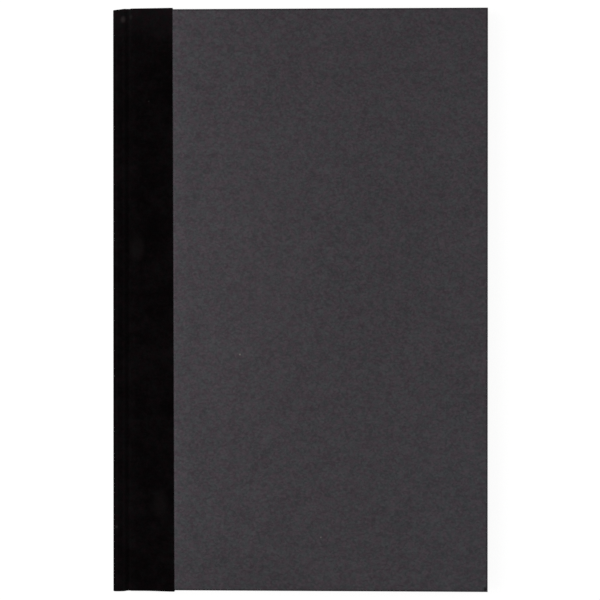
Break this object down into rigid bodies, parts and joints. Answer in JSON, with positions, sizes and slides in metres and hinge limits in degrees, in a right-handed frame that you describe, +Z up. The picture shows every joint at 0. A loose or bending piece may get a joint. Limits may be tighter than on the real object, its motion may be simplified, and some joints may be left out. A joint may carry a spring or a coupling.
{
  "type": "folio notebook",
  "caption": "Tall hardcover notebook: charcoal paper sides, a black cloth spine strip over flat joints, and blank sewn leaves that open flat.",
  "frame": {"origin": "middle of the notebook's outline in X and Y, on the plane that the closed notebook lies on", "axes": "+Z up out of the front cover, +Y towards the head, +X from the spine towards the fore edge"},
  "size_m": [0.216, 0.337, 0.0178],
  "materials": {
    "covering_paper": "matt charcoal covering paper with a fine pebbled grain",
    "book_cloth": "dull black book cloth, fine and close, slightly scuffed",
    "greyboard": "raw grey binder's board",
    "leaves": "uncoated off-white writing paper",
    "endpaper": "heavier uncoated off-white paper",
    "mull": "open stiffened gauze, glued",
    "thread": "waxed linen thread"
  },
  "bodies": {
    "rear_leaves": {"section_06": "leaves", "section_07": "leaves", "section_08": "leaves", "section_09": "leaves", "section_10": "leaves", "rear_spine_lining": "mull", "rear_sewing_thread": "thread"},
    "back_cover": {"back_board": "greyboard", "back_cover_paper": "covering_paper", "back_cloth": "book_cloth", "back_mull_flap": "mull", "back_pastedown": "endpaper"},
    "back_endleaf": {"back_flyleaf": "endpaper"},
    "spine": {"spine_cloth": "book_cloth", "spine_inlay": "greyboard"},
    "front_cover": {"front_board": "greyboard", "front_cover_paper": "covering_paper", "front_cloth": "book_cloth", "front_mull_flap": "mull", "front_pastedown": "endpaper"},
    "front_endleaf": {"front_flyleaf": "endpaper"},
    "leaves_01": {"section_01": "leaves", "front_spine_lining": "mull", "front_sewing_thread": "thread"},
    "leaves_02": {"section_02": "leaves"},
    "leaves_03": {"section_03": "leaves"},
    "leaves_04": {"section_04": "leaves"},
    "leaves_05": {"section_05": "leaves"}
  },
  "joints": [
    {"name": "back_cover_hinge", "type": "hinge", "parent": "rear_leaves", "child": "back_cover", "pos_m": [-0.10747, 0, 0.00068], "axis": [0, 1, 0], "range_deg": [0, 90]},
    {"name": "back_flyleaf_hinge", "type": "hinge", "parent": "rear_leaves", "child": "back_endleaf", "pos_m": [-0.10545, 0, 0.00428], "axis": [0, 1, 0], "range_deg": [0, 45]},
    {"name": "spine_hinge", "type": "hinge", "parent": "rear_leaves", "child": "spine", "pos_m": [-0.10747, 0, 0.00068], "axis": [0, -1, 0], "range_deg": [0, 90]},
    {"name": "front_cover_hinge", "type": "hinge", "parent": "spine", "child": "front_cover", "pos_m": [-0.10747, 0, 0.01708], "axis": [0, -1, 0], "range_deg": [0, 90]},
    {"name": "front_flyleaf_hinge", "type": "hinge", "parent": "rear_leaves", "child": "front_endleaf", "pos_m": [-0.1061, 0, 0.00888], "axis": [0, -1, 0], "range_deg": [0, 180]},
    {"name": "leaves_01_hinge", "type": "hinge", "parent": "rear_leaves", "child": "leaves_01", "pos_m": [-0.1061, 0, 0.00888], "axis": [0, -1, 0], "range_deg": [0, 179.5]},
    {"name": "leaves_02_hinge", "type": "hinge", "parent": "rear_leaves", "child": "leaves_02", "pos_m": [-0.1061, 0, 0.00888], "axis": [0, -1, 0], "range_deg": [0, 179]},
    {"name": "leaves_03_hinge", "type": "hinge", "parent": "rear_leaves", "child": "leaves_03", "pos_m": [-0.1061, 0, 0.00888], "axis": [0, -1, 0], "range_deg": [0, 178.5]},
    {"name": "leaves_04_hinge", "type": "hinge", "parent": "rear_leaves", "child": "leaves_04", "pos_m": [-0.1061, 0, 0.00888], "axis": [0, -1, 0], "range_deg": [0, 178]},
    {"name": "leaves_05_hinge", "type": "hinge", "parent": "rear_leaves", "child": "leaves_05", "pos_m": [-0.1061, 0, 0.00888], "axis": [0, -1, 0], "range_deg": [0, 177.5]}
  ],
  "couplings": [
    {"joint": "back_flyleaf_hinge", "follows": "back_cover_hinge", "ratio": 0.5},
    {"joint": "spine_hinge", "follows": "front_cover_hinge", "ratio": 1},
    {"joint": "front_flyleaf_hinge", "follows": "front_cover_hinge", "ratio": 2},
    {"joint": "leaves_01_hinge", "follows": "front_cover_hinge", "ratio": 1.9944},
    {"joint": "leaves_02_hinge", "follows": "front_cover_hinge", "ratio": 1.9889},
    {"joint": "leaves_03_hinge", "follows": "front_cover_hinge", "ratio": 1.9833},
    {"joint": "leaves_04_hinge", "follows": "front_cover_hinge", "ratio": 1.9778},
    {"joint": "leaves_05_hinge", "follows": "front_cover_hinge", "ratio": 1.9722}
  ]
}
